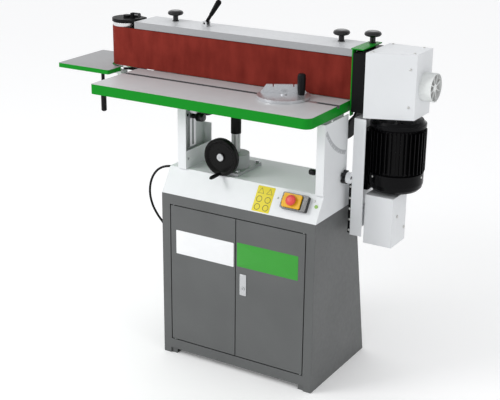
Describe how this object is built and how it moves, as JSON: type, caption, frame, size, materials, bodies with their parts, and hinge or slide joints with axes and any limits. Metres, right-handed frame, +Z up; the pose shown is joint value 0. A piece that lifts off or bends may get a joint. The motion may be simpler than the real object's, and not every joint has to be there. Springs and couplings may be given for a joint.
{
  "type": "oscillating edge belt sander",
  "caption": "Edge belt sander on a cabinet stand: upright oscillating belt, tilting head, lifting table with mitre gauge, idler-end table, dust hood and hanging motor.",
  "frame": {"origin": "centre of the cabinet's footprint and of its four floor anchor holes, on the floor", "axes": "+X along the belt towards the motor, +Y away from the operator, +Z up"},
  "size_m": [1.519, 0.64, 1.3179],
  "materials": {
    "stand_grey": "semi-gloss powder coat, fine orange peel",
    "white_paint": "satin powder coat",
    "port_plastic": "moulded, slight sheen",
    "cover_paint": "satin light grey",
    "pale_aluminium": "brushed extrusion",
    "ground_iron": "ground and waxed top",
    "cast_base": "painted casting",
    "steel": "turned and ground",
    "nickel_plate": "satin nickel",
    "black_plastic": "moulded black plastic",
    "black_gloss": "gloss black enamel",
    "black_satin": "satin black",
    "cord_rubber": "matt cable sheath",
    "stop_green": "gloss green",
    "abrasive": "aluminium oxide cloth belt",
    "graphite": "graphite-coated canvas",
    "flap_yellow": "moulded yellow",
    "stop_red": "moulded red",
    "start_green": "moulded green"
  },
  "bodies": {
    "stand": {"cabinet_floor": "stand_grey", "side_panels": "stand_grey", "rear_panel": "stand_grey", "front_frame": "stand_grey", "door_hinge_pins": "steel", "control_tray": "white_paint", "switch_base": "black_plastic", "left_post": "white_paint", "right_post": "white_paint", "frame_bolts": "steel", "column_base": "cast_base", "guide_column": "steel", "cord_gland": "cord_rubber", "mains_cord": "cord_rubber", "cord_coil": "cord_rubber", "mains_plug": "black_plastic"},
    "left_door": {"left_door": "stand_grey"},
    "right_door": {"right_door": "stand_grey", "latch_plate": "nickel_plate"},
    "latch": {"latch_cam": "steel"},
    "flap": {"switch_flap": "flap_yellow"},
    "stop_button": {"stop_button": "stop_red"},
    "start_button": {"start_button": "start_green"},
    "handwheel": {"handwheel": "black_gloss", "pinion_shaft": "steel"},
    "wheel_grip": {"wheel_grip": "black_plastic"},
    "table": {"main_table": "ground_iron", "rack_column": "steel", "column_sleeve": "black_satin", "guide_bar": "steel"},
    "table_lock": {"table_lock_knob": "black_plastic"},
    "gauge_bar": {"gauge_bar": "pale_aluminium"},
    "gauge_head": {"gauge_head": "pale_aluminium"},
    "gauge_handle": {"gauge_handle": "black_plastic"},
    "head": {"head_frame": "steel", "platen_pad": "graphite", "top_cover": "cover_paint", "front_lip": "pale_aluminium", "rear_guard": "white_paint", "entry_guard": "black_satin", "tilt_arms": "black_satin", "dust_hood": "white_paint", "dust_port": "port_plastic", "motor_bracket": "white_paint", "end_table_bracket": "white_paint"},
    "tilt_lock": {"tilt_lock_knob": "black_plastic"},
    "end_table": {"end_table": "ground_iron"},
    "end_table_handle": {"end_table_handle": "black_plastic"},
    "left_cover_knob": {"left_cover_knob": "black_plastic"},
    "right_cover_knob": {"right_cover_knob": "black_plastic"},
    "tension_lever": {"tension_lever": "black_gloss"},
    "idler_fork": {"idler_fork": "black_satin"},
    "tracking_knob": {"tracking_knob": "black_plastic"},
    "idler_drum": {"idler_drum": "steel"},
    "motor": {"motor_body": "black_gloss", "oscillator_box": "white_paint"},
    "drive_drum": {"drive_drum": "steel"},
    "belt": {"sanding_belt": "abrasive"},
    "work_stop": {"work_stop": "stop_green"},
    "stop_knob": {"stop_knob": "black_plastic"}
  },
  "joints": [
    {"name": "left_door_hinge", "type": "hinge", "parent": "stand", "child": "left_door", "pos_m": [-0.272, -0.209, 0.336], "axis": [0, 0, -1], "range_deg": [0, 110]},
    {"name": "right_door_hinge", "type": "hinge", "parent": "stand", "child": "right_door", "pos_m": [0.272, -0.209, 0.336], "axis": [0, 0, 1], "range_deg": [0, 110]},
    {"name": "latch_turn", "type": "hinge", "parent": "right_door", "child": "latch", "pos_m": [0.032, -0.21, 0.345], "axis": [0, 1, 0], "range_deg": [0, 90]},
    {"name": "flap_hinge", "type": "hinge", "parent": "stand", "child": "flap", "pos_m": [0.178, -0.19946, 0.71261], "axis": [0, -0.5437, -0.8393], "range_deg": [0, 110]},
    {"name": "stop_press", "type": "slide", "parent": "flap", "child": "stop_button", "axis": [0, 0.8393, -0.5437], "range_m": [0, 0.004], "stiffness_N_per_m": 800},
    {"name": "start_press", "type": "slide", "parent": "stand", "child": "start_button", "axis": [0, 0.8393, -0.5437], "range_m": [0, 0.003], "stiffness_N_per_m": 800},
    {"name": "table_lift", "type": "slide", "parent": "stand", "child": "table", "axis": [0, 0, 1], "range_m": [0, 0.1]},
    {"name": "handwheel_turn", "type": "hinge", "parent": "stand", "child": "handwheel", "pos_m": [-0.097, -0.155, 0.808], "axis": [0, -1, 0], "range_deg": [0, 955]},
    {"name": "grip_spin", "type": "hinge", "parent": "handwheel", "child": "wheel_grip", "pos_m": [-0.097, -0.19, 0.748], "axis": [0, -1, 0], "continuous": true},
    {"name": "table_lock_turn", "type": "hinge", "parent": "stand", "child": "table_lock", "pos_m": [-0.22, -0.105, 0.925], "axis": [1, 0, 0], "continuous": true},
    {"name": "gauge_slide", "type": "slide", "parent": "table", "child": "gauge_bar", "axis": [1, 0, 0], "range_m": [-0.6, 0.05]},
    {"name": "gauge_turn", "type": "hinge", "parent": "gauge_bar", "child": "gauge_head", "pos_m": [0.098, -0.061, 1.04], "axis": [0, 0, 1], "range_deg": [0, 120]},
    {"name": "gauge_handle_turn", "type": "hinge", "parent": "gauge_head", "child": "gauge_handle", "pos_m": [0.15169, -0.03, 1.08], "axis": [0, 0, 1], "continuous": true},
    {"name": "head_tilt", "type": "hinge", "parent": "stand", "child": "head", "pos_m": [0, 0.035, 1.034], "axis": [-1, 0, 0], "range_deg": [0, 45]},
    {"name": "tilt_lock_turn", "type": "hinge", "parent": "head", "child": "tilt_lock", "pos_m": [0.33, -0.02, 0.77], "axis": [1, 0, 0], "continuous": true},
    {"name": "end_table_slide", "type": "slide", "parent": "head", "child": "end_table", "axis": [-1, 0, 0], "range_m": [0, 0.04]},
    {"name": "end_handle_turn", "type": "hinge", "parent": "end_table", "child": "end_table_handle", "pos_m": [-0.778, 0.04, 0.9], "axis": [0, 0, 1], "continuous": true},
    {"name": "left_cover_knob_turn", "type": "hinge", "parent": "head", "child": "left_cover_knob", "pos_m": [-0.489, 0.134, 1.22], "axis": [0, 0, 1], "continuous": true},
    {"name": "right_cover_knob_turn", "type": "hinge", "parent": "head", "child": "right_cover_knob", "pos_m": [0.218, 0.134, 1.22], "axis": [0, 0, 1], "continuous": true},
    {"name": "idler_slide", "type": "slide", "parent": "head", "child": "idler_fork", "axis": [1, 0, 0], "range_m": [0, 0.012]},
    {"name": "tension_turn", "type": "hinge", "parent": "head", "child": "tension_lever", "pos_m": [-0.335, 0.111, 1.223], "axis": [0, -1, 0], "range_deg": [0, 70.1]},
    {"name": "tracking_turn", "type": "hinge", "parent": "idler_fork", "child": "tracking_knob", "pos_m": [-0.64, 0.092, 1.224], "axis": [1, 0, 0], "continuous": true},
    {"name": "drum_spin", "type": "hinge", "parent": "motor", "child": "drive_drum", "pos_m": [0.47, 0.092, 1.1], "axis": [0, 0, 1], "continuous": true},
    {"name": "idler_spin", "type": "hinge", "parent": "idler_fork", "child": "idler_drum", "pos_m": [-0.69, 0.092, 1.1], "axis": [0, 0, 1], "continuous": true},
    {"name": "stroke", "type": "slide", "parent": "head", "child": "motor", "axis": [0, 0, 1], "range_m": [-0.004, 0.004]},
    {"name": "belt_stroke", "type": "slide", "parent": "head", "child": "belt", "axis": [0, 0, 1], "range_m": [-0.004, 0.004]},
    {"name": "stop_slide", "type": "slide", "parent": "head", "child": "work_stop", "axis": [0, -1, 0], "range_m": [0, 0.015]},
    {"name": "stop_knob_turn", "type": "hinge", "parent": "head", "child": "stop_knob", "pos_m": [0.341, 0.128, 1.23], "axis": [0, 0, 1], "continuous": true}
  ],
  "couplings": [
    {"joint": "handwheel_turn", "follows": "table_lift", "rad_per_m": 166.67},
    {"joint": "tension_turn", "follows": "idler_slide", "rad_per_m": 101.8},
    {"joint": "idler_spin", "follows": "drum_spin", "ratio": 1},
    {"joint": "belt_stroke", "follows": "stroke", "ratio": 1}
  ]
}
